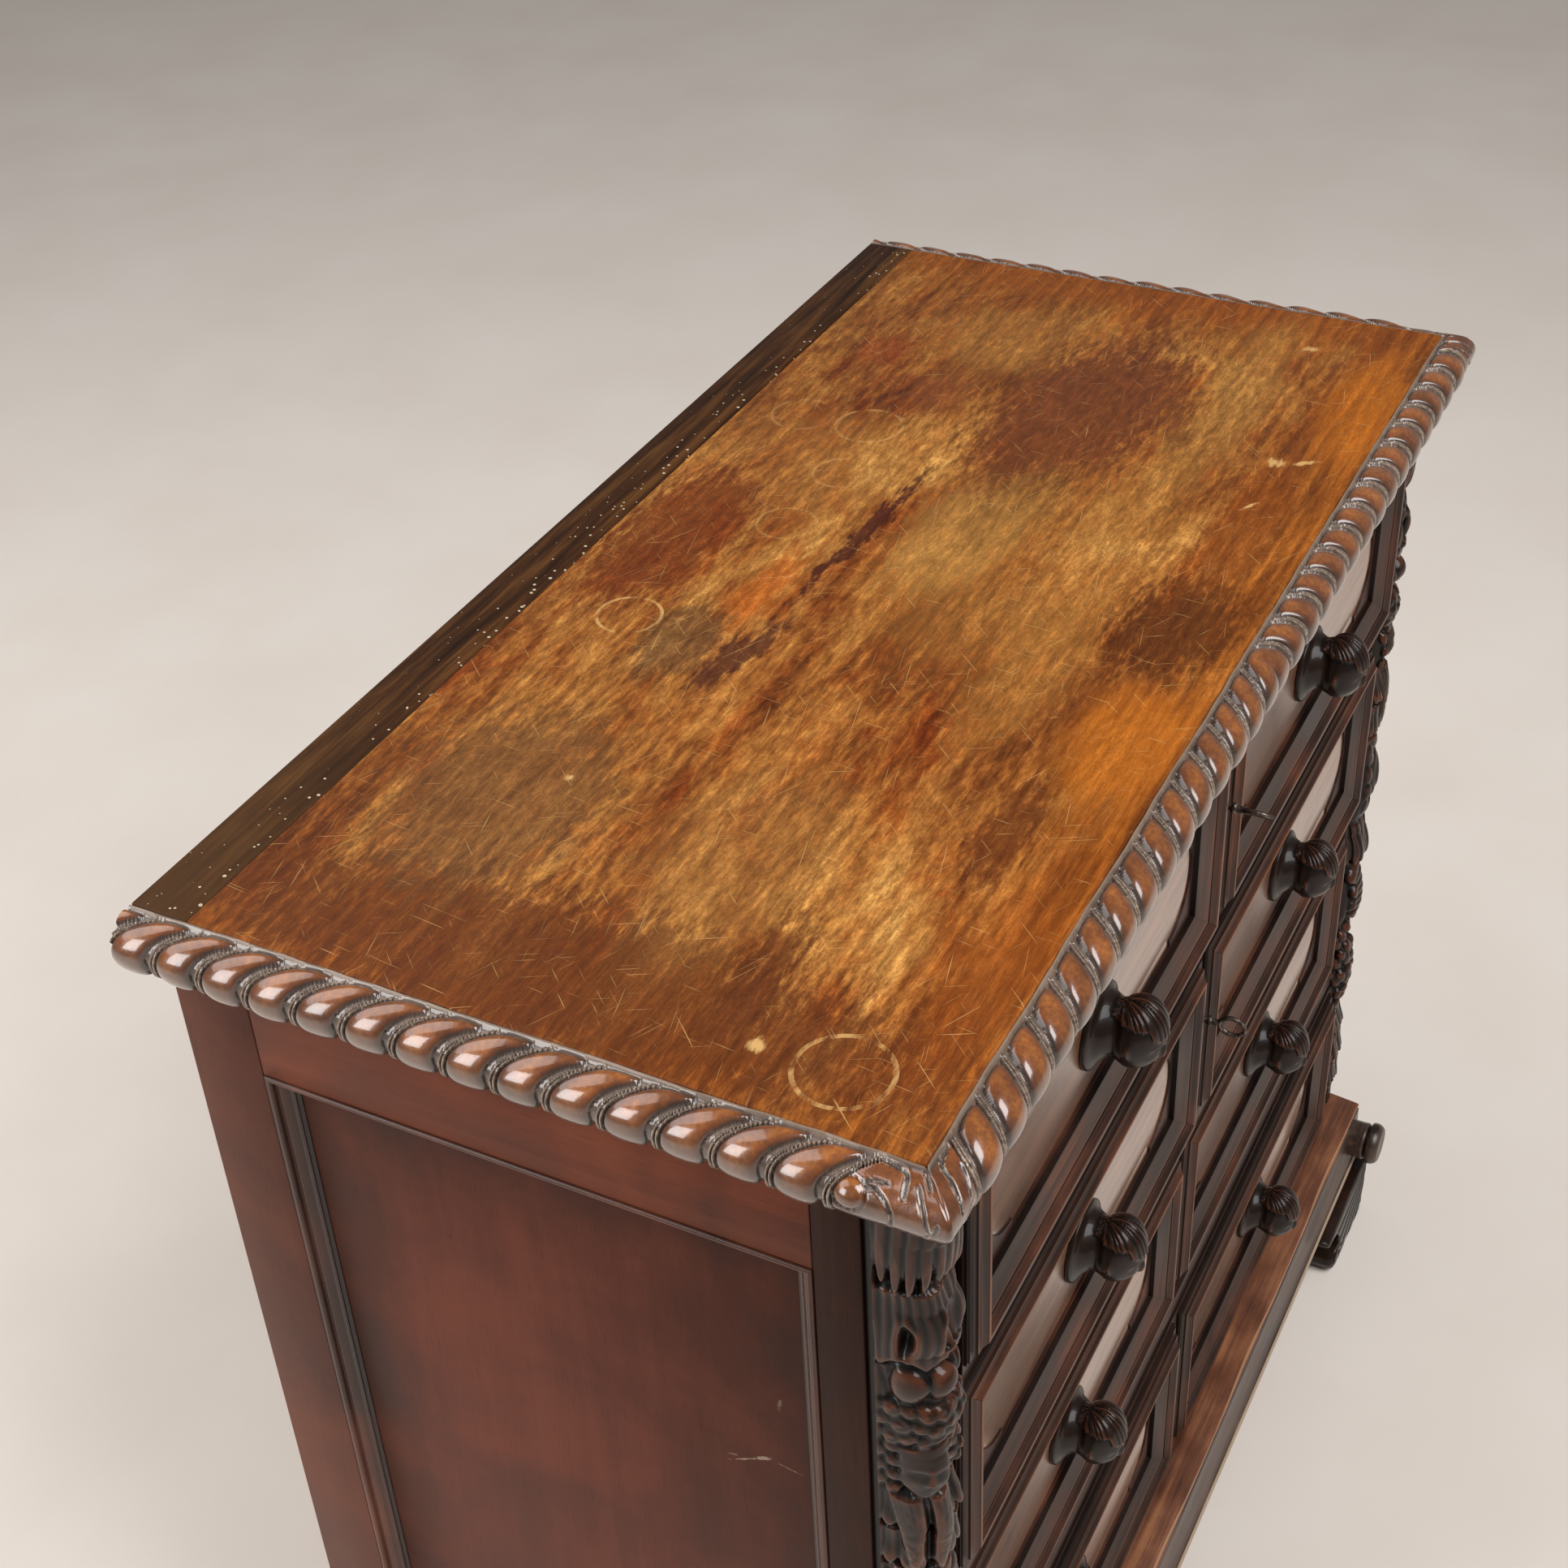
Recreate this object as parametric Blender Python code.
"""Chest of drawers with a gadrooned top, framed drawers and carved corner pilasters.

Units are metres, +Z is up. The origin is on the floor, under the middle of the overall box.
+X is to the right of someone who faces the drawers, and the drawers open towards -Y.
"""
import math

import bmesh
import bpy
from mathutils import Vector

# Fits
SEAT = 0.0003            # gap between pieces that rest on, or are fixed to, each other
SLIDE = 0.0025           # side play of a drawer between the posts
KEY_PLAY = 0.0004        # play of a key shank in its keyhole
OVERCUT = 0.002          # how far a cutter runs past the face that it cuts

# Top
TOP_OVERHANG_SIDE = 0.019
TOP_OVERHANG_FRONT = 0.010  # over the ground of the top drawer front
TOP_THICKNESS = 0.034
BACK_STRIP_WIDTH = 0.047

# Gadrooned moulding round three edges of the top
MOULDING_REACH = 0.031
MOULDING_HEIGHT = 0.042
CORNER_LEAF = 0.079      # length of the carved leaf, measured from the outer corner
LOBE_COUNT = 14          # lobes on a side run, and on each half of the front run
LOBE_RISE = 0.0035
LOBE_LEAN = 0.45         # how far a lobe's tail runs ahead of its bulb, in lobe pitches

# Carcase
CASE_WIDTH = 1.132
CASE_DEPTH = 0.534
POST_THICKNESS = 0.054
FRONT_POST_DEPTH = 0.035
REAR_POST_DEPTH = 0.064
RAIL_THICKNESS = 0.030
TOP_RAIL_HEIGHT = 0.116
BOTTOM_RAIL_HEIGHT = 0.120
PANEL_THICKNESS = 0.010
PANEL_RECESS = 0.014     # from the face of the side frame to the face of its panel
GROOVE_DEPTH = 0.008
PANEL_MOULDING_WIDTH = 0.018
BACK_THICKNESS = 0.012
BOARD_THICKNESS = 0.018  # dust boards and bottom board

# Drawers
ROW_COUNT = 4
ROW_PITCH = 0.2278
FRONT_RAIL_HEIGHT = 0.031  # rail between the top drawer and the top
DRAWER_SETBACKS = (0.000, 0.005, 0.012, 0.002)  # how much deeper each old drawer closes
FRONT_THICKNESS = 0.029
FRONT_STANDOFF = 0.015   # from the front of the posts to the back of the top drawer front
BOARD_SETBACK = 0.004    # from the ground of the top drawer front to the edges of the dust boards
LINING_THICKNESS = 0.014
DRAWER_BOTTOM = 0.010
DRAWER_SIDE_DROP = 0.016 # the sides are lower than the front
DRAWER_BACK_GAP = 0.020  # behind the top drawer, when it is shut

# Frames on the drawer fronts
FRAME_BORDER_SIDE = 0.002
FRAME_BORDER_EDGE = 0.0077
MUNTIN_HALF = 0.006
FRAME_PROUD = 0.013
ARRIS_INSET = 0.016
OGEE_WIDTH = 0.0085
BAND_WIDTH = 0.0175
BAND_STEP = 0.0005
PANEL_SUNK = 0.003
FIELD_SUNK = 0.002
FIELD_MARGIN = 0.004
FIELD_NIB = 0.006
FIELD_ARC_STEPS = 10

# Pilasters, plinth and feet
PILASTER_WIDTH = 0.053
PILASTER_BACKING = 0.005
PILASTER_LIP = 0.002     # least height of the carving over its backing
BACKING_INSET = 0.004    # leaves the shadow line beside the post
PLINTH_HEIGHT = 0.0715
PLINTH_REACH = 0.0885
PLINTH_TOP_FALL = 0.005
PLINTH_SLOPE = 0.050     # width of the part of its top that falls
PLINTH_LIP = 0.004
PLINTH_COVE = 0.010
PLINTH_FASCIA = 0.032    # height of the plain face under the cove
PLINTH_FASCIA_SET = 0.009
PLINTH_BEAD = 0.010
BOSS_RADIUS = 0.024
BOSS_NECK_RADIUS = 0.0215
BOSS_REACH = 0.0275      # how far the turned boss at each corner stands in front of the plinth
BOSS_ROOT = 0.020        # how deep it is let into the plinth
FOOT_HEIGHT = 0.090
FOOT_LENGTH = 0.165
FOOT_TOE = 0.128         # length that stands on the floor
FOOT_SCROLL_RADIUS = 0.017
FOOT_THICKNESS = 0.048   # of the bracket behind the plinth's front
FOOT_BULGE = 0.011
FOOT_EDGE = 0.008

# Knobs, locks and keys
KNOB_COLLAR_RADIUS = 0.0345
KNOB_NECK_RADIUS = 0.0225
KNOB_NECK_OUT = 0.0145   # from the seat to the thinnest part of the neck
KNOB_HEAD_OUT = 0.033    # from the seat to the middle of the head
KNOB_HEAD_RISE = 0.005
KNOB_HEAD_HALF_WIDTH = 0.0235
KNOB_HEAD_HALF_LENGTH = 0.029
KNOB_HEAD_HALF_DEPTH = 0.024
KNOB_HEAD_TILT = -8.0    # the crown stands a little further out than the chin
KEY_ROWS = (1, 2)
KEY_RISE = 0.024         # keyhole above the middle of the drawer
KEY_TURNS = (-50.0, 0.0)  # how each key stands at rest, in degrees from upright
KEY_SHANK_RADIUS = 0.0030
KEY_REACH = 0.045        # from the drawer's ground to the end of the bow
KEY_BOW_WIDTH = 0.022
KEY_BOW_LENGTH = 0.026
KEY_BOW_WIRE = 0.0021
KEY_BIT_DROP = 0.011
KEY_BIT_LENGTH = 0.007
KEY_BIT_WIDTH = 0.0024
KEY_TIP = 0.001          # bare end of the shank behind the bit
LOCK_WIDTH = 0.070
LOCK_HEIGHT = 0.052
LOCK_THICKNESS = 0.014
LOCK_POCKET_DEPTH = 0.011
LOCK_POCKET_PLAY = 0.0015

# Motifs carved on a pilaster, from the top down:
# name, height, depth at its fullest, depth at its waist, place of the fullest part, cleft
MOTIFS = (
    ("upper leaves", 0.064, 0.058, 0.046, 0.80, 0.00),
    ("lower leaves", 0.064, 0.054, 0.043, 0.70, 0.06),
    ("paired fruits", 0.038, 0.060, 0.044, 0.50, 0.22),
    ("curls", 0.040, 0.059, 0.050, 0.55, 0.00),
    ("head", 0.060, 0.061, 0.050, 0.55, 0.00),
    ("folded wings", 0.090, 0.056, 0.044, 0.25, 0.16),
    ("leaf drop", 0.058, 0.055, 0.041, 0.65, 0.00),
    ("boss", 0.098, 0.060, 0.041, 0.55, 0.10),
    ("upper leaf tips", 0.060, 0.055, 0.039, 0.45, 0.08),
    ("lower leaf tips", 0.082, 0.054, 0.042, 0.60, 0.08),
    ("swag", 0.110, 0.058, 0.046, 0.55, 0.00),
    ("tail", 0.157, 0.048, 0.040, 0.30, 0.05),
)
MOTIF_STEPS = 5
PILASTER_ARC = 9

# Places worked out from the sizes above
BACK_Y = (CASE_DEPTH + PLINTH_REACH + BOSS_REACH) / 2
CASE_FRONT_Y = BACK_Y - CASE_DEPTH
CASE_X = CASE_WIDTH / 2
POST_INNER_X = CASE_X - POST_THICKNESS
PLINTH_TOP = FOOT_HEIGHT + PLINTH_HEIGHT
PLINTH_FRONT_Y = CASE_FRONT_Y - PLINTH_REACH
ROWS_TOP = PLINTH_TOP + ROW_COUNT * ROW_PITCH - BOARD_THICKNESS
FRONT_HEIGHT = ROW_PITCH - BOARD_THICKNESS - 2 * SEAT
FRONT_HALF_WIDTH = POST_INNER_X - SLIDE
FIRST_FRONT_BACK_Y = CASE_FRONT_Y - FRONT_STANDOFF
FIRST_GROUND_Y = FIRST_FRONT_BACK_Y - FRONT_THICKNESS
DRAWER_LENGTH = CASE_DEPTH - BACK_THICKNESS + FRONT_STANDOFF - DRAWER_BACK_GAP
TOP_HALF_WIDTH = CASE_X + TOP_OVERHANG_SIDE
TOP_FRONT_Y = FIRST_GROUND_Y - TOP_OVERHANG_FRONT
TOP_UNDER = ROWS_TOP + FRONT_RAIL_HEIGHT + SEAT
HEIGHT = TOP_UNDER + TOP_THICKNESS


def linear(channel):
    """One sRGB channel, 0 to 1, as linear light."""
    if channel <= 0.04045:
        return channel / 12.92
    return ((channel + 0.055) / 1.055) ** 2.4


def make_finish(name, hex_colour, roughness, metallic=0.0):
    """A Principled material for one kind of wood or metal."""
    red, green, blue = (int(hex_colour[i:i + 2], 16) / 255 for i in (1, 3, 5))
    finish = bpy.data.materials.new(name)
    finish.use_nodes = True
    shader = finish.node_tree.nodes["Principled BSDF"]
    shader.inputs["Base Color"].default_value = (linear(red), linear(green), linear(blue), 1.0)
    shader.inputs["Roughness"].default_value = roughness
    shader.inputs["Metallic"].default_value = metallic
    return finish


def start():
    """Empty the scene and make the finishes."""
    for old in list(bpy.data.objects):
        bpy.data.objects.remove(old, do_unlink=True)
    return {
        "worn_walnut": make_finish("worn_walnut", "#9a5f2c", 0.45),
        "aged_walnut": make_finish("aged_walnut", "#4f2c20", 0.40),
        "dark_walnut": make_finish("dark_walnut", "#2e1c15", 0.35),
        "carved_walnut": make_finish("carved_walnut", "#33201a", 0.30),
        "moulded_walnut": make_finish("moulded_walnut", "#7a4724", 0.35),
        "poplar_lining": make_finish("poplar_lining", "#b08d62", 0.70),
        "wrought_iron": make_finish("wrought_iron", "#6b6661", 0.40, 0.9),
    }


FINISHES = start()


def add_piece(name, bm, finish, parent=None, location=(0.0, 0.0, 0.0), smooth=None):
    """Turn a bmesh into a named object; smooth is the angle, in degrees, that stays sharp."""
    bmesh.ops.recalc_face_normals(bm, faces=bm.faces)
    mesh = bpy.data.meshes.new(name)
    bm.to_mesh(mesh)
    bm.free()
    mesh.materials.append(FINISHES[finish])
    if smooth is not None:
        mesh.shade_smooth()
        mesh.set_sharp_from_angle(angle=math.radians(smooth))
    piece = bpy.data.objects.new(name, mesh)
    piece.location = location
    piece.parent = parent
    bpy.context.scene.collection.objects.link(piece)
    return piece


def add_empty(name, location):
    """A parent for the pieces of a drawer, on the line that the drawer slides along."""
    empty = bpy.data.objects.new(name, None)
    empty.location = location
    bpy.context.scene.collection.objects.link(empty)
    return empty


def add_guide(name, bm, parent=None, location=(0.0, 0.0, 0.0)):
    """A helper shape that cuts or joins another piece and isn't part of the chest."""
    guide = add_piece(name, bm, "wrought_iron", parent, location)
    guide.hide_render = True
    guide.display_type = "WIRE"
    return guide


def combine(piece, guide, operation):
    """Join a guide to a piece, or cut it out of the piece."""
    boolean = piece.modifiers.new(operation.lower() + "_" + guide.name, "BOOLEAN")
    boolean.operation = operation
    boolean.solver = "EXACT"
    boolean.object = guide


def loft(bm, rings, closed=False):
    """Skin a row of rings of equal length; the ends are capped unless the row is closed."""
    rows = [[bm.verts.new(point) for point in ring] for ring in rings]
    count = len(rows[0])
    pairs = list(zip(rows, rows[1:]))
    if closed:
        pairs.append((rows[-1], rows[0]))
    for near, far in pairs:
        for i in range(count):
            j = (i + 1) % count
            bm.faces.new((near[i], near[j], far[j], far[i]))
    if not closed:
        bm.faces.new(rows[0][::-1])
        bm.faces.new(rows[-1])
    return bm


def box(low, high):
    """A plain board between two corners."""
    (x0, y0, z0), (x1, y1, z1) = low, high
    ring = ((x0, y0), (x1, y0), (x1, y1), (x0, y1))
    return loft(bmesh.new(), [[(x, y, z) for x, y in ring] for z in (z0, z1)])


def prism(outline, axis, low, high):
    """An outline drawn in the other two axes, pulled along one axis."""
    def place(a, b, along):
        point = [a, b]
        point.insert("xyz".index(axis), along)
        return point
    return loft(bmesh.new(), [[place(a, b, s) for a, b in outline] for s in (low, high)])


def arc(centre_a, centre_b, radius, start_deg, end_deg, steps):
    """Points along an arc, both ends included."""
    points = []
    for i in range(steps + 1):
        angle = math.radians(start_deg + (end_deg - start_deg) * i / steps)
        points.append((centre_a + radius * math.cos(angle), centre_b + radius * math.sin(angle)))
    return points


# Top board and its moulding

def make_top():
    """The wide plank and the narrow strip behind it."""
    half = TOP_HALF_WIDTH
    seam = BACK_Y - BACK_STRIP_WIDTH
    plank = box((-half, TOP_FRONT_Y, TOP_UNDER), (half, seam - SEAT, HEIGHT))
    add_piece("top_board", plank, "worn_walnut")
    strip = box((-half, seam, TOP_UNDER), (half, BACK_Y, HEIGHT))
    add_piece("top_back_strip", strip, "aged_walnut")


def moulding_section(bulge, slide):
    """Points (along, out, up) across the moulding; bulge is 0 in a valley and 1 on a crest.

    The points run from the top inner edge over the outside to the lower inner edge.
    """
    core_out = 0.2 * MOULDING_REACH
    core_up = -0.55 * MOULDING_HEIGHT
    wide = MOULDING_REACH - LOBE_RISE - core_out
    tall = -core_up - LOBE_RISE
    points = [(slide * LOBE_LEAN, SEAT, -LOBE_RISE)]
    for degrees in (80, 50, 20, -10, -45):
        angle = math.radians(degrees)
        swell = bulge * LOBE_RISE * max(0.2, math.cos(angle - math.radians(15)))
        out = core_out + (wide + swell) * math.cos(angle)
        up = core_up + (tall + swell) * math.sin(angle)
        tail = max(0.0, math.sin(angle)) ** 1.5
        points.append((slide * LOBE_LEAN * tail, out, up))
    points.append((0.0, core_out, -MOULDING_HEIGHT))
    points.append((0.0, SEAT, -MOULDING_HEIGHT))
    return points


def moulding_run(run_length, corner_length, sweep):
    """Sections from the plain end of one run of lobes to the mitre at the leaf's corner.

    The tails of the lobes sweep towards the corner where sweep is 1, and away from it at -1.
    """
    pitch = run_length / LOBE_COUNT
    lobe_shape = (0.0, 0.75, 1.0, 0.75)
    sections = []
    for i in range(LOBE_COUNT * len(lobe_shape) + 1):
        place = i * pitch / len(lobe_shape)
        lean = sweep * pitch * min(1.0, i / len(lobe_shape))
        section = moulding_section(lobe_shape[i % len(lobe_shape)], lean)
        sections.append([(place + along, out, up) for along, out, up in section])
    inner_corner = run_length + corner_length - MOULDING_REACH
    leaf_middle = run_length + 0.72 * (inner_corner - run_length)
    for place, bulge, mitre in ((leaf_middle, 0.8, 0.0), (inner_corner, 0.5, 1.0)):
        section = moulding_section(bulge, 0.0)
        sections.append([(place + mitre * out, out, up) for along, out, up in section])
    return sections


def make_mouldings():
    """Left and right runs from the back, and a front run mirrored about its middle.

    The lobes' tails sweep to the front on the sides, and to the middle on the front.
    """
    half = TOP_HALF_WIDTH
    outer_half = half + MOULDING_REACH
    side_run = BACK_Y - TOP_FRONT_Y + MOULDING_REACH - CORNER_LEAF
    for side, name in ((-1, "left"), (1, "right")):
        rings = [[(side * (half + out), BACK_Y - along, HEIGHT + up) for along, out, up in section]
                 for section in moulding_run(side_run, CORNER_LEAF, 1)]
        bm = loft(bmesh.new(), rings)
        add_piece("top_moulding_" + name, bm, "moulded_walnut", smooth=40)
    front = moulding_run(outer_half - CORNER_LEAF, CORNER_LEAF, -1)
    sections = []
    for side, half_run in ((-1, front[:0:-1]), (1, front)):
        for section in half_run:
            sections.append([(side * along, TOP_FRONT_Y - out, HEIGHT + up) for along, out, up in section])
    for point in range(len(front[0])):
        middle = sections[len(front) - 1]
        middle[point] = (0.0, middle[point][1], middle[point][2])
    clear = SEAT * 2
    rings = [[(x - math.copysign(clear, x) if abs(x) > half else x, y, z) for x, y, z in ring]
             for ring in sections]
    add_piece("top_moulding_front", loft(bmesh.new(), rings), "moulded_walnut", smooth=40)


# Carcase

def grooved(outline_depth, outline_thick, groove_at):
    """Outline (depth, thickness) of a frame member with a panel groove in its inner edge."""
    low = groove_at
    high = groove_at + PANEL_THICKNESS + 2 * SEAT
    return [(0.0, 0.0), (outline_depth, 0.0), (outline_depth, low),
            (outline_depth - GROOVE_DEPTH, low), (outline_depth - GROOVE_DEPTH, high),
            (outline_depth, high), (outline_depth, outline_thick), (0.0, outline_thick)]


def make_side(side, name):
    """Posts, rails, panel and panel moulding of one end of the carcase."""
    def at(depth_in):
        """X of a point that lies this far in from the outer face."""
        return side * (CASE_X - depth_in)

    groove_at = PANEL_RECESS - SEAT
    rear = grooved(REAR_POST_DEPTH, POST_THICKNESS, groove_at)
    rear_outline = [(at(t), BACK_Y - d) for d, t in rear]
    add_piece(name + "_rear_post", prism(rear_outline, "z", 0.0, TOP_UNDER - SEAT), "aged_walnut")
    front = grooved(FRONT_POST_DEPTH, POST_THICKNESS, groove_at)
    front_outline = [(at(t), CASE_FRONT_Y + d) for d, t in front]
    add_piece(name + "_front_post", prism(front_outline, "z", FOOT_HEIGHT, TOP_UNDER - SEAT), "aged_walnut")

    back_edge = BACK_Y - REAR_POST_DEPTH - SEAT
    front_edge = CASE_FRONT_Y + FRONT_POST_DEPTH + SEAT
    top_under = TOP_UNDER - SEAT
    upper = grooved(TOP_RAIL_HEIGHT, RAIL_THICKNESS, groove_at)
    upper_outline = [(at(t), top_under - d) for d, t in upper]
    add_piece(name + "_top_rail", prism(upper_outline, "y", front_edge, back_edge), "aged_walnut")
    lower = grooved(BOTTOM_RAIL_HEIGHT, RAIL_THICKNESS, groove_at)
    lower_outline = [(at(t), FOOT_HEIGHT + d) for d, t in lower]
    add_piece(name + "_bottom_rail", prism(lower_outline, "y", front_edge, back_edge), "aged_walnut")

    opening_low = FOOT_HEIGHT + BOTTOM_RAIL_HEIGHT
    opening_high = top_under - TOP_RAIL_HEIGHT
    opening_front = CASE_FRONT_Y + FRONT_POST_DEPTH
    opening_back = BACK_Y - REAR_POST_DEPTH
    tongue = GROOVE_DEPTH - SEAT
    outer, inner = sorted((at(PANEL_RECESS), at(PANEL_RECESS + PANEL_THICKNESS)))
    panel = box((outer, opening_front - tongue, opening_low - tongue),
                (inner, opening_back + tongue, opening_high + tongue))
    add_piece(name + "_panel", panel, "aged_walnut")

    # Ogee moulding, as closed rectangles at each point of its profile (width in, depth in)
    w = PANEL_MOULDING_WIDTH
    d = PANEL_RECESS
    profile = [(SEAT, d - SEAT), (SEAT, 0.15 * d), (0.18 * w, 0.10 * d), (0.34 * w, 0.22 * d),
               (0.46 * w, 0.48 * d), (0.66 * w, 0.58 * d), (0.86 * w, 0.72 * d), (w, d - SEAT)]
    rings = []
    for width_in, depth_in in profile:
        rings.append([(at(depth_in), opening_front + width_in, opening_low + width_in),
                      (at(depth_in), opening_back - width_in, opening_low + width_in),
                      (at(depth_in), opening_back - width_in, opening_high - width_in),
                      (at(depth_in), opening_front + width_in, opening_high - width_in)])
    add_piece(name + "_panel_moulding", loft(bmesh.new(), rings, closed=True), "aged_walnut", smooth=50)


def row_centre(row):
    """Height of the middle of a row, counted from the top."""
    return ROWS_TOP - SEAT - FRONT_HEIGHT / 2 - (row - 1) * ROW_PITCH


def make_inner_boards():
    """Back, bottom, dust boards between the rows, and the rail over the top drawer."""
    half = POST_INNER_X - SEAT
    inner_back = BACK_Y - BACK_THICKNESS - SEAT
    lowest = PLINTH_TOP
    back = box((-half, BACK_Y - BACK_THICKNESS, FOOT_HEIGHT), (half, BACK_Y, TOP_UNDER - SEAT))
    add_piece("back_panel", back, "poplar_lining")
    bottom = box((-half, CASE_FRONT_Y + SEAT, lowest - BOARD_THICKNESS), (half, inner_back, lowest))
    add_piece("bottom_board", bottom, "poplar_lining")
    front_edge = FIRST_GROUND_Y + BOARD_SETBACK
    for row in range(1, ROW_COUNT):
        under = row_centre(row) - FRONT_HEIGHT / 2 - SEAT
        board = box((-half, front_edge, under - BOARD_THICKNESS), (half, inner_back, under))
        add_piece("dust_board_%d" % row, board, "dark_walnut")
    rail = box((-half, front_edge, ROWS_TOP), (half, CASE_FRONT_Y + FRONT_POST_DEPTH, TOP_UNDER - SEAT))
    add_piece("front_top_rail", rail, "dark_walnut")


# Carved corner pilasters

def pilaster_sections(length):
    """Sections from the top down: height, depth and cleft, following the carved motifs."""
    total = sum(motif[1] for motif in MOTIFS)
    stations = []
    top = length
    for name, height, full, waist, place, cleft in MOTIFS:
        height *= length / total
        lean = math.log(0.5) / math.log(place)
        for i in range(MOTIF_STEPS):
            share = i / MOTIF_STEPS
            swell = math.sin(math.pi * share ** lean) ** 0.8
            stations.append((top - share * height, waist + (full - waist) * swell, cleft * swell))
        top -= height
    stations.append((0.0, MOTIFS[-1][3], 0.0))
    return stations


def make_pilaster(side, name):
    """A backing strip with the carving standing out of it, swelling from motif to motif."""
    base = PLINTH_TOP + SEAT
    length = TOP_UNDER - SEAT - base
    middle = side * (CASE_X - PILASTER_WIDTH / 2)
    back = CASE_FRONT_Y - SEAT
    half = PILASTER_WIDTH / 2
    narrow = half - BACKING_INSET
    lip = PILASTER_BACKING + PILASTER_LIP
    rings = []
    for height, depth, cleft in pilaster_sections(length):
        ring = [(-narrow, 0.0), (-narrow, PILASTER_BACKING)]
        for i in range(PILASTER_ARC):
            angle = math.pi * (1 - i / (PILASTER_ARC - 1))
            across = math.copysign(abs(math.cos(angle)) ** 0.7, math.cos(angle))
            forward = math.sin(angle) ** 0.6
            notch = 1 - cleft * math.exp(-(across / 0.3) ** 2)
            reach = lip + (depth - lip) * forward * notch
            ring.append((half * across, reach))
        ring += [(narrow, PILASTER_BACKING), (narrow, 0.0)]
        rings.append([(middle + x, back - y, base + height) for x, y in ring])
    add_piece("pilaster_" + name, loft(bmesh.new(), rings), "carved_walnut", smooth=50)


# Plinth and feet

def make_plinth():
    """A moulded board under the drawers, with a turned boss in front of each corner."""
    back = CASE_FRONT_Y - SEAT
    front = PLINTH_FRONT_Y
    low = FOOT_HEIGHT
    high = PLINTH_TOP
    lip = high - PLINTH_TOP_FALL
    cove_top = lip - PLINTH_LIP
    cove_drop = cove_top - low - PLINTH_FASCIA
    outline = [(back, low), (back, high), (front + PLINTH_SLOPE, high), (front + PLINTH_LIP, lip)]
    for i in range(5):
        angle = math.pi / 2 * i / 4
        outline.append((front + PLINTH_LIP + PLINTH_COVE * (1 - math.cos(angle)),
                        cove_top - cove_drop * math.sin(angle)))
    outline += [(front + PLINTH_FASCIA_SET, low + PLINTH_FASCIA - PLINTH_LIP),
                (front, low + PLINTH_BEAD), (front, low)]
    plinth = add_piece("plinth", prism(outline, "x", -CASE_X, CASE_X), "dark_walnut", smooth=35)
    boss_z = cove_top - BOSS_RADIUS
    for side, name in ((-1, "left"), (1, "right")):
        boss_x = side * (POST_INNER_X + CASE_X) / 2
        rings = []
        for reach, radius in ((-BOSS_ROOT, BOSS_NECK_RADIUS), (0.42 * BOSS_REACH, BOSS_NECK_RADIUS),
                              (0.48 * BOSS_REACH, 0.97 * BOSS_RADIUS), (0.60 * BOSS_REACH, BOSS_RADIUS),
                              (0.82 * BOSS_REACH, 0.97 * BOSS_RADIUS), (BOSS_REACH, 0.80 * BOSS_RADIUS)):
            circle = arc(boss_x, boss_z, radius, 0, 342, 19)
            rings.append([(a, front - reach, b) for a, b in circle])
        guide = add_guide("corner_boss_" + name, loft(bmesh.new(), rings))
        combine(plinth, guide, "UNION")


def foot_outline():
    """Front view of a bracket, as (distance in from the outer end, height)."""
    high = FOOT_HEIGHT - SEAT
    r = FOOT_SCROLL_RADIUS
    points = [(0.0, high), (0.0, 0.5 * r), (0.5 * r, 0.0)]
    points += arc(FOOT_TOE - r, r, r, -90, 110, 7)
    hollow_a, hollow_b = points[-1]
    for i in range(1, 6):
        angle = math.pi / 2 * i / 5
        points.append((hollow_a + (FOOT_LENGTH - hollow_a) * (1 - math.cos(angle)),
                       hollow_b + (high - 0.4 * r - hollow_b) * math.sin(angle)))
    points.append((FOOT_LENGTH, high))
    return points


def inset_outline(outline, amount):
    """The outline drawn in towards its middle, for a rounded edge."""
    middle_a = sum(a for a, b in outline) / len(outline)
    middle_b = sum(b for a, b in outline) / len(outline)
    inset = []
    for a, b in outline:
        reach = math.hypot(a - middle_a, b - middle_b)
        share = 1 - amount / reach
        inset.append((middle_a + (a - middle_a) * share, middle_b + (b - middle_b) * share))
    return inset


def make_foot(side, name):
    """A carved bracket under the end of the plinth, and the block behind it under the post."""
    outline = foot_outline()
    face = PLINTH_FRONT_Y - FOOT_BULGE
    layers = ((PLINTH_FRONT_Y + FOOT_THICKNESS, 0.0), (face + FOOT_EDGE, 0.0),
              (face + 0.3 * FOOT_EDGE, 0.3 * FOOT_EDGE), (face, FOOT_EDGE))
    rings = []
    for y, amount in layers:
        drawn = inset_outline(outline, amount) if amount else outline
        rings.append([(side * (CASE_X - a), y, b) for a, b in drawn])
    foot = add_piece("foot_front_" + name, loft(bmesh.new(), rings), "carved_walnut", smooth=40)
    outer, inner = sorted((side * (CASE_X - SEAT), side * POST_INNER_X))
    block = box((outer, PLINTH_FRONT_Y + 0.5 * FOOT_THICKNESS, SEAT),
                (inner, CASE_FRONT_Y + FRONT_POST_DEPTH, FOOT_HEIGHT - 2 * SEAT))
    combine(foot, add_guide("foot_block_" + name, block), "UNION")


# Drawers

def field_outline(half_length, half_height):
    """A long field with round ends and a small square shoulder at each corner."""
    radius = half_height - FIELD_NIB
    shoulder = half_length - radius
    right = arc(shoulder, 0.0, radius, -90, 90, FIELD_ARC_STEPS)
    left = arc(-shoulder, 0.0, radius, 90, 270, FIELD_ARC_STEPS)
    return ([(shoulder, -half_height)] + right + [(shoulder, half_height), (-shoulder, half_height)]
            + left + [(-shoulder, -half_height)])


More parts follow.
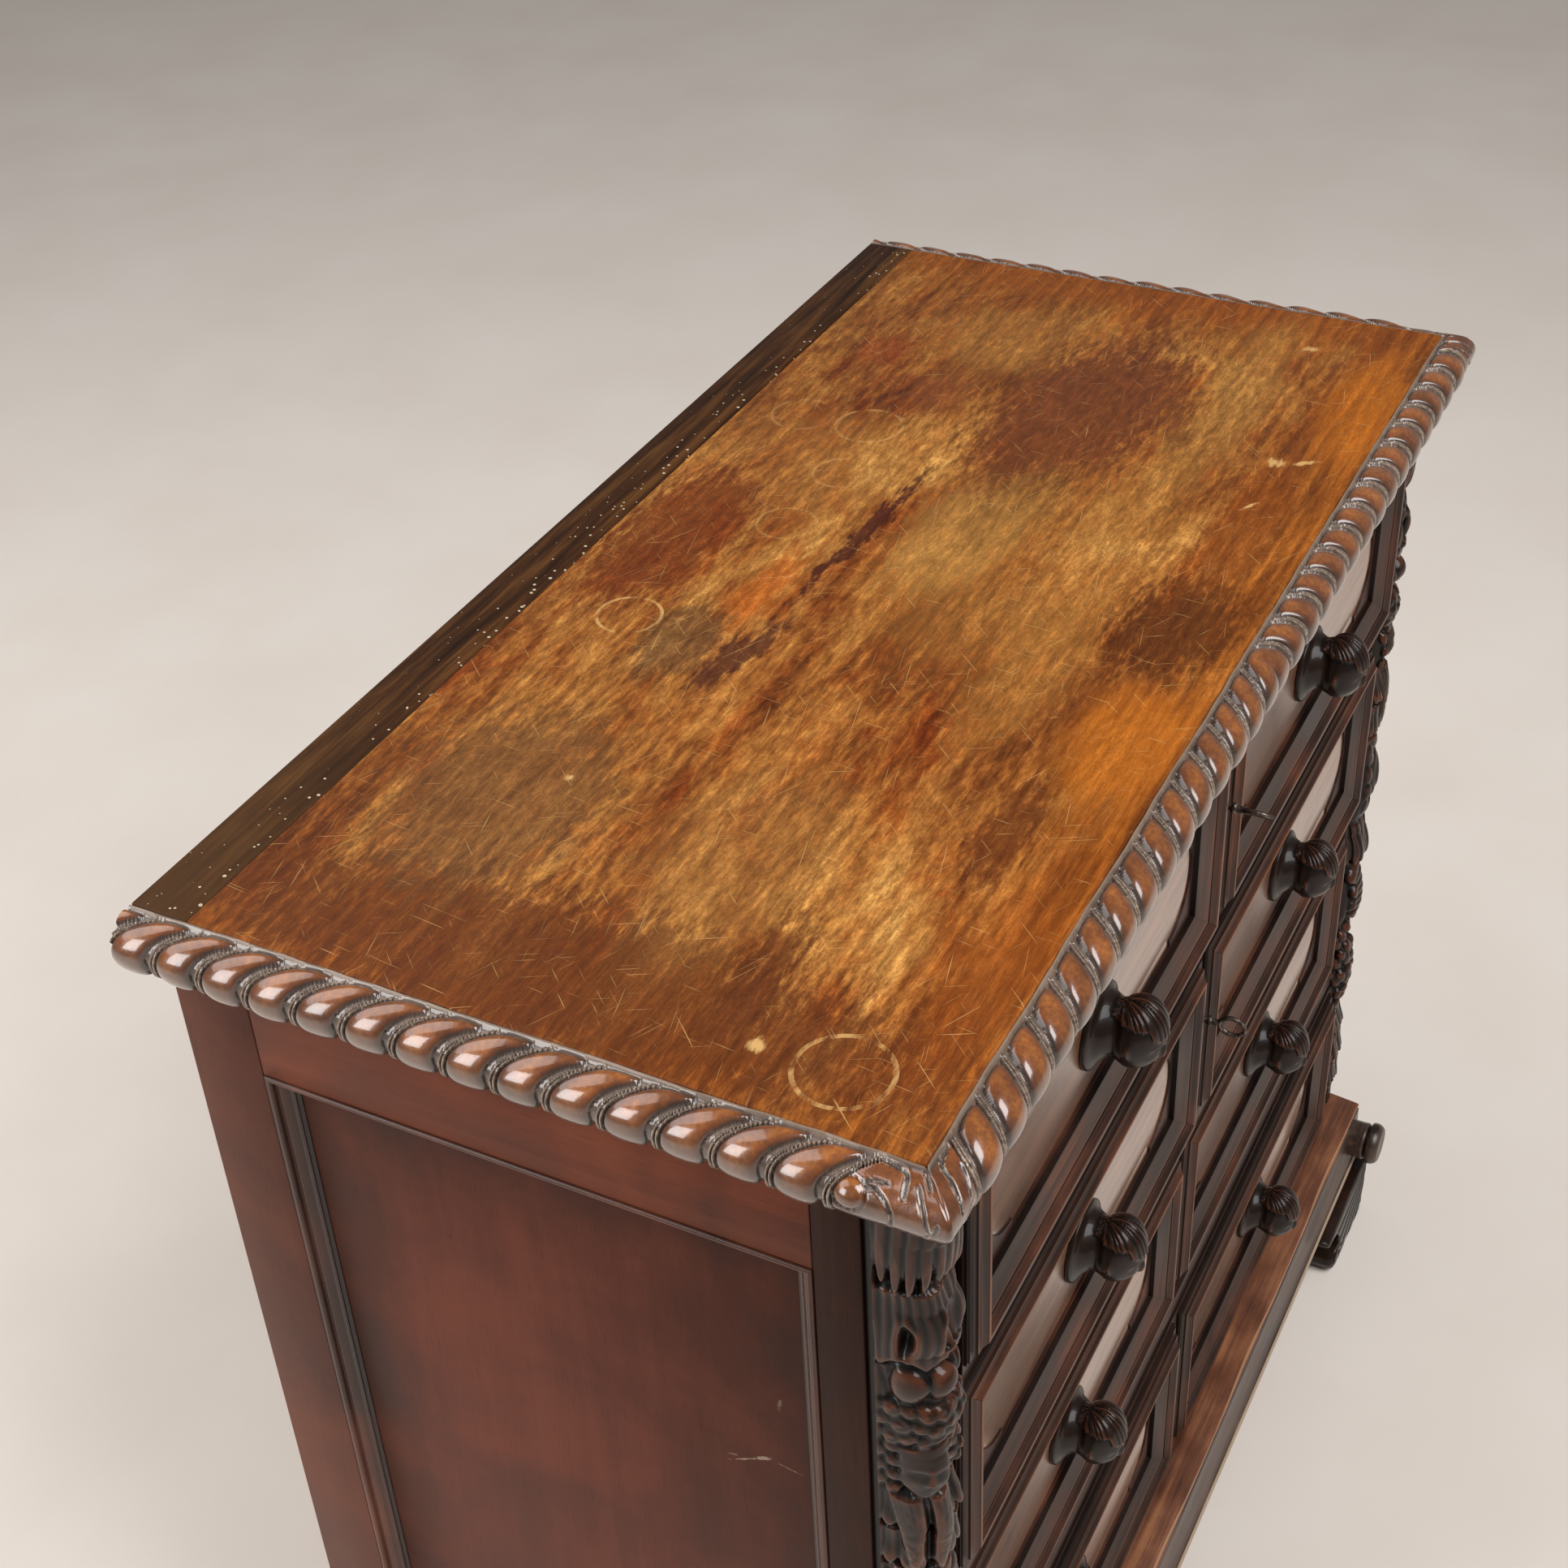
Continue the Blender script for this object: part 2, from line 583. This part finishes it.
def frame_profile():
    """Bolection profile from the outer edge in: distance in, height over the ground."""
    a = ARRIS_INSET
    p = FRAME_PROUD
    o = OGEE_WIDTH
    band = a + o
    end = band + BAND_WIDTH
    return [(0.0, 0.20 * p), (0.16 * a, 0.20 * p), (0.45 * a, 0.36 * p), (0.75 * a, 0.68 * p),
            (0.92 * a, 0.96 * p), (a, p), (a + 0.18 * o, 0.97 * p), (a + 0.47 * o, 0.78 * p),
            (a + 0.80 * o, 0.62 * p), (a + 0.88 * o, 0.50 * p), (band, 0.58 * p),
            (end, 0.10 * p), (end + BAND_STEP, -PANEL_SUNK)]


def add_frame(bm, corners, centre_x, half_length, half_height):
    """One mitred frame with its sunk, lobed field, grown from four corners of the ground."""
    loop = corners
    for inset, rise in frame_profile():
        inner = []
        for sx, sz in ((-1, -1), (1, -1), (1, 1), (-1, 1)):
            point = (centre_x + sx * (half_length - inset), -rise, sz * (half_height - inset))
            inner.append(bm.verts.new(point))
        for i in range(4):
            j = (i + 1) % 4
            bm.faces.new((loop[i], loop[j], inner[j], inner[i]))
        loop = inner
    inset = frame_profile()[-1][0] + FIELD_MARGIN
    outline = field_outline(half_length - inset, half_height - inset)
    rim = [bm.verts.new((centre_x + x, PANEL_SUNK, z)) for x, z in outline]
    floor = [bm.verts.new((centre_x + x, PANEL_SUNK + FIELD_SUNK, z)) for x, z in outline]
    edges = [bm.edges.get((loop[i], loop[(i + 1) % 4])) for i in range(4)]
    count = len(rim)
    edges += [bm.edges.new((rim[i], rim[(i + 1) % count])) for i in range(count)]
    bmesh.ops.triangle_fill(bm, edges=edges, use_beauty=True, normal=(0.0, -1.0, 0.0))
    for i in range(count):
        j = (i + 1) % count
        bm.faces.new((rim[i], rim[j], floor[j], floor[i]))
    bm.faces.new(floor)


def framed_front():
    """A drawer front in its own place: the ground is at y = 0, the middle at the origin."""
    bm = bmesh.new()
    half_height = FRONT_HEIGHT / 2
    outer = FRONT_HALF_WIDTH - FRAME_BORDER_SIDE
    edge = half_height - FRAME_BORDER_EDGE
    columns = (-FRONT_HALF_WIDTH, -outer, -MUNTIN_HALF, MUNTIN_HALF, outer, FRONT_HALF_WIDTH)
    rows = (-half_height, -edge, edge, half_height)
    grid = [[bm.verts.new((x, 0.0, z)) for z in rows] for x in columns]
    for i in range(len(columns) - 1):
        for j in range(len(rows) - 1):
            corners = [grid[i][j], grid[i + 1][j], grid[i + 1][j + 1], grid[i][j + 1]]
            if j == 1 and i in (1, 3):
                centre = (columns[i] + columns[i + 1]) / 2
                add_frame(bm, corners, centre, (columns[i + 1] - columns[i]) / 2, edge)
            else:
                bm.faces.new(corners)
    back = [bm.verts.new((x, FRONT_THICKNESS, z)) for x, z in
            ((columns[0], rows[0]), (columns[-1], rows[0]), (columns[-1], rows[-1]), (columns[0], rows[-1]))]
    bm.faces.new(back)
    bm.faces.new([column[0] for column in grid] + [back[1], back[0]])
    bm.faces.new([column[-1] for column in reversed(grid)] + [back[3], back[2]])
    bm.faces.new(list(reversed(grid[0])) + [back[0], back[3]])
    bm.faces.new(grid[-1] + [back[2], back[1]])
    return bm


def make_drawer(row):
    """Front, sides, back and bottom of one drawer, hung on an empty on its slide line."""
    ground_y = FIRST_GROUND_Y + DRAWER_SETBACKS[row - 1]
    slide = add_empty("drawer_%d_slide" % row, (0.0, ground_y, row_centre(row)))
    label = "drawer_%d_" % row
    front = add_piece(label + "front", framed_front(), "dark_walnut", slide, smooth=30)

    half = FRONT_HALF_WIDTH
    near = FRONT_THICKNESS + SEAT
    far = near + DRAWER_LENGTH
    low = -FRONT_HEIGHT / 2
    floor = low + DRAWER_BOTTOM
    high = FRONT_HEIGHT / 2 - DRAWER_SIDE_DROP
    for side, name in ((-1, "left"), (1, "right")):
        x0, x1 = sorted((side * half, side * (half - LINING_THICKNESS)))
        board = box((x0, near, floor + SEAT), (x1, far, high))
        add_piece(label + name + "_side", board, "poplar_lining", slide)
    inner = half - LINING_THICKNESS - SEAT
    back = box((-inner, far - LINING_THICKNESS, floor + SEAT), (inner, far, high))
    add_piece(label + "back", back, "poplar_lining", slide)
    bottom = box((-half, near, low), (half, far, floor))
    add_piece(label + "bottom", bottom, "poplar_lining", slide)

    for side, name in ((-1, "left"), (1, "right")):
        make_knob("knob_%d_%s" % (row, name), slide, side)
    if row in KEY_ROWS:
        make_lock_and_key(row, slide, front)


def knob_rings():
    """Rings of a head-shaped knob: distance out, rise, half width and half height."""
    rings = []
    for share, radius in ((0.0, 0.96 * KNOB_COLLAR_RADIUS), (0.10, KNOB_COLLAR_RADIUS),
                          (0.30, 0.97 * KNOB_COLLAR_RADIUS), (0.55, 0.80 * KNOB_COLLAR_RADIUS),
                          (1.0, KNOB_NECK_RADIUS)):
        rings.append((share * KNOB_NECK_OUT, share * KNOB_HEAD_RISE, radius, radius))
    # The head is a leaning ellipsoid, cut into upright slices
    lean = math.radians(KNOB_HEAD_TILT)
    long_out, long_up = math.sin(lean), -math.cos(lean)
    length, depth = KNOB_HEAD_HALF_LENGTH, KNOB_HEAD_HALF_DEPTH
    reach = math.hypot(length * long_out, depth * long_up)
    upright = (long_up / length) ** 2 + (long_out / depth) ** 2
    shear = long_out * long_up * (1 / length ** 2 - 1 / depth ** 2)
    for degrees in (-32, -12, 10, 32, 54, 76):
        angle = math.radians(degrees)
        out = reach * math.sin(angle)
        rise = KNOB_HEAD_RISE - shear / upright * out
        rings.append((KNOB_HEAD_OUT + out, rise, KNOB_HEAD_HALF_WIDTH * math.cos(angle),
                      math.cos(angle) / math.sqrt(upright)))
    return rings


def make_knob(name, slide, side):
    """A flared collar and a thick neck that carry a carved head."""
    centre = side * (FRONT_HALF_WIDTH - FRAME_BORDER_SIDE + MUNTIN_HALF) / 2
    seat = PANEL_SUNK + FIELD_SUNK - SEAT
    segments = 14
    rings = []
    for out, rise, half_width, half_height in knob_rings():
        ring = []
        for i in range(segments):
            angle = 2 * math.pi * i / segments
            ring.append((half_width * math.cos(angle), -out, rise + half_height * math.sin(angle)))
        rings.append(ring)
    add_piece(name, loft(bmesh.new(), rings), "carved_walnut", slide, (centre, seat, 0.0), smooth=60)


def make_lock_and_key(row, slide, front):
    """An iron lock behind the front, a keyhole through the muntin, and the key in it."""
    hole = KEY_SHANK_RADIUS + KEY_PLAY
    slot = KEY_BIT_WIDTH / 2 + KEY_PLAY
    side_angle = math.degrees(math.asin(slot / hole))
    outline = arc(0.0, 0.0, hole, -90 + side_angle, 270 - side_angle, 16)
    outline += [(-slot, -KEY_BIT_DROP - KEY_PLAY), (slot, -KEY_BIT_DROP - KEY_PLAY)]
    keyhole = prism(outline, "y", -OVERCUT, FRONT_THICKNESS + OVERCUT)
    cutter = add_guide("keyhole_%d" % row, keyhole, slide, (0.0, 0.0, KEY_RISE))
    combine(front, cutter, "DIFFERENCE")

    inside = FRONT_THICKNESS + SEAT
    lock = box((-LOCK_WIDTH / 2, 0.0, -LOCK_HEIGHT / 2), (LOCK_WIDTH / 2, LOCK_THICKNESS, LOCK_HEIGHT / 2))
    lock_piece = add_piece("lock_%d" % row, lock, "wrought_iron", slide, (0.0, inside, KEY_RISE))
    pocket_ring = arc(0.0, 0.0, KEY_BIT_DROP + LOCK_POCKET_PLAY, 0, 345, 23)
    pocket = prism(pocket_ring, "y", -OVERCUT, LOCK_POCKET_DEPTH)
    pocket_guide = add_guide("lock_pocket_%d" % row, pocket, slide, (0.0, inside, KEY_RISE))
    combine(lock_piece, pocket_guide, "DIFFERENCE")
    make_key("key_%d" % row, slide, math.radians(KEY_TURNS[KEY_ROWS.index(row)]))


def make_key(name, slide, turn):
    """Shank, oval bow and bit; the origin is on the axis that the key turns about."""
    inner_end = FRONT_THICKNESS + SEAT + LOCK_POCKET_DEPTH - LOCK_POCKET_PLAY
    bow_start = -KEY_REACH + KEY_BOW_LENGTH
    place = (0.0, 0.0, KEY_RISE)
    shank_ring = arc(0.0, 0.0, KEY_SHANK_RADIUS, 0, 330, 11)
    shank = prism(shank_ring, "y", bow_start - KEY_BOW_WIRE, inner_end)
    key = add_piece(name, shank, "wrought_iron", slide, place, smooth=40)

    rings = []
    middle = bow_start - KEY_BOW_LENGTH / 2
    for i in range(16):
        angle = 2 * math.pi * i / 16
        outward = Vector((0.0, math.cos(angle), math.sin(angle)))
        centre = Vector((0.0, middle + (KEY_BOW_LENGTH / 2 - KEY_BOW_WIRE) * math.cos(angle),
                         (KEY_BOW_WIDTH / 2 - KEY_BOW_WIRE) * math.sin(angle)))
        rings.append([centre + outward * b + Vector((a, 0.0, 0.0))
                      for a, b in arc(0.0, 0.0, KEY_BOW_WIRE, 0, 300, 5)])
    bow = add_guide(name + "_bow", loft(bmesh.new(), rings, closed=True), slide, place)
    combine(key, bow, "UNION")
    bit = box((-KEY_BIT_WIDTH / 2, inner_end - KEY_BIT_LENGTH, -KEY_BIT_DROP),
              (KEY_BIT_WIDTH / 2, inner_end - KEY_TIP, 0.0))
    bit_guide = add_guide(name + "_bit", bit, slide, place)
    combine(key, bit_guide, "UNION")
    for piece in (key, bow, bit_guide):
        piece.rotation_euler = (0.0, turn, 0.0)


def build():
    """Make every piece of the chest."""
    make_top()
    make_mouldings()
    for side, name in ((-1, "left"), (1, "right")):
        make_side(side, name)
        make_pilaster(side, name)
        make_foot(side, name)
    make_inner_boards()
    make_plinth()
    for row in range(1, ROW_COUNT + 1):
        make_drawer(row)


build()
